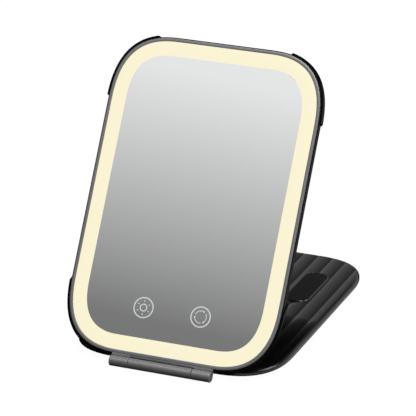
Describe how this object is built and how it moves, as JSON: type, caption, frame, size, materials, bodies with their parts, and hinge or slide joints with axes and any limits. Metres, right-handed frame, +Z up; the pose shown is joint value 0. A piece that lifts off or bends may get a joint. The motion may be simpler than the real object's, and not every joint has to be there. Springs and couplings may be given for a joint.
{
  "type": "lighted vanity mirror",
  "caption": "Folding travel mirror with a lit band round the glass and touch icons, hinged to a ribbed cover that shuts over it or swings behind as a stand.",
  "frame": {"origin": "middle of the footprint, on the table the mirror stands on", "axes": "+X along the hinge, to the viewer's right; +Y to the back, the way the open cover points; +Z up"},
  "size_m": [0.1452, 0.2162, 0.1831],
  "materials": {
    "bezel_paint": "satin",
    "opal_diffuser": "satin, lit from behind",
    "mirror_silver": "polished",
    "foam_tape": "matt",
    "icon_etch": "frosted, softly lit",
    "copper": "bright",
    "spring_wire": "plated",
    "tray_plastic": "white, fine texture",
    "screw_steel": "zinc plated",
    "led_laminate": "white solder mask",
    "led_package": "clear over phosphor",
    "green_laminate": "green solder mask",
    "chip_resin": "matt",
    "socket_steel": "drawn",
    "battery_foil": "laminated foil",
    "wire_sheath": "smooth",
    "magnet_nickel": "nickel plated",
    "shell_plastic": "black, fine texture",
    "guard_plastic": "black, smooth",
    "pin_steel": "ground",
    "cap_metal": "turned",
    "cover_plastic": "charcoal, satin",
    "liner_plastic": "black, matt",
    "badge_plastic": "smoky grey",
    "bush_bronze": "sintered",
    "silicone": "matt"
  },
  "bodies": {
    "cover": {"cover_shell": "cover_plastic", "cover_liner": "liner_plastic", "badge_plate": "badge_plastic", "hinge_leaf": "bezel_paint", "leaf_screws": "screw_steel", "friction_bush_left": "bush_bronze", "friction_bush_right": "bush_bronze", "cover_magnets": "magnet_nickel", "cover_bumpers": "silicone"},
    "head": {"front_bezel": "bezel_paint", "light_diffuser": "opal_diffuser", "mirror_glass": "mirror_silver", "mirror_tape": "foam_tape", "brightness_icon": "icon_etch", "colour_icon": "icon_etch", "touch_pads": "copper", "touch_springs": "spring_wire", "mirror_tray": "tray_plastic", "tray_screws": "screw_steel", "led_board": "led_laminate", "leds": "led_package", "control_board": "green_laminate", "board_parts": "chip_resin", "board_screws": "screw_steel", "usb_c_socket": "socket_steel", "battery": "battery_foil", "battery_pad": "foam_tape", "battery_wires": "wire_sheath", "head_magnets": "magnet_nickel", "rear_shell": "shell_plastic", "guard_top_left": "guard_plastic", "guard_top_right": "guard_plastic", "guard_bottom_left": "guard_plastic", "guard_bottom_right": "guard_plastic", "hinge_pin_left": "pin_steel", "hinge_pin_right": "pin_steel", "barrel_cap_left": "cap_metal", "barrel_cap_right": "cap_metal"}
  },
  "joints": [
    {"name": "hinge", "type": "hinge", "parent": "cover", "child": "head", "pos_m": [0, -0.10469, 0.0034], "axis": [1, 0, 0], "range_deg": [0, 300]}
  ]
}
